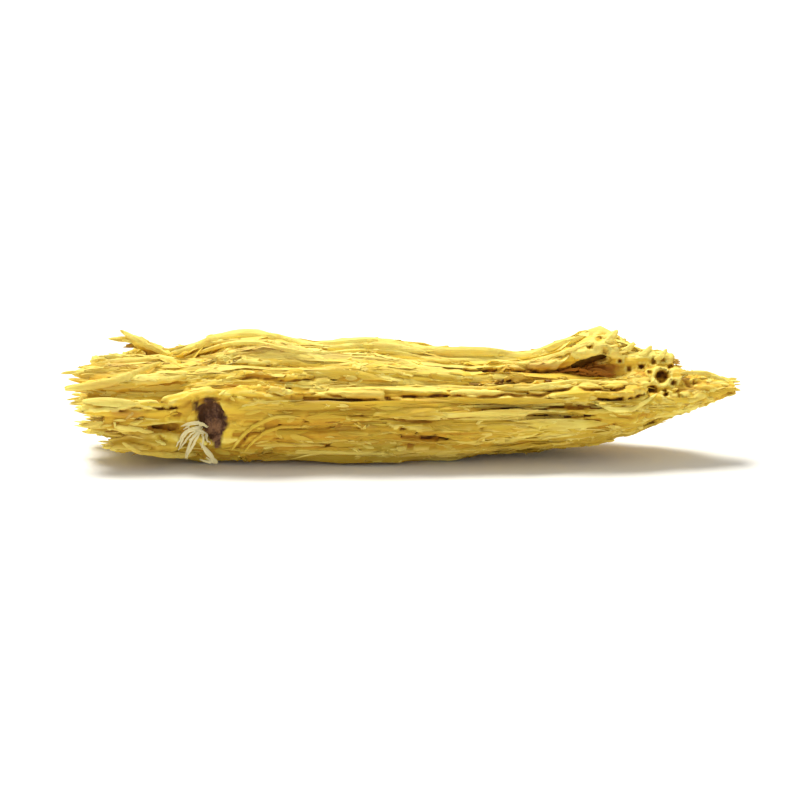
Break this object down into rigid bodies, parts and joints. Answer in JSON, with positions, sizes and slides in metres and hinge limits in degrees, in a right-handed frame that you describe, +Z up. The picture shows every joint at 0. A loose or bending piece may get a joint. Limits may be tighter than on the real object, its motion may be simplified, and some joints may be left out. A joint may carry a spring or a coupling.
{
  "type": "licorice root",
  "caption": "Short split stick of dried licorice root with fibrous sides, splintered ends and a rootlet scar, for a heap of cut root or a spice display.",
  "frame": {"origin": "on the surface that the piece lies on, under the middle of its length and depth", "axes": "+X along the grain from the splintered end to the narrow tongue, +Y away from the front that the picture shows, +Z up"},
  "size_m": [0.024, 0.0052, 0.0043],
  "materials": {
    "root_wood": "dry and fibrous, straw yellow with brown in the splits"
  },
  "bodies": {
    "root": {"licorice_root": "root_wood"}
  },
  "joints": []
}
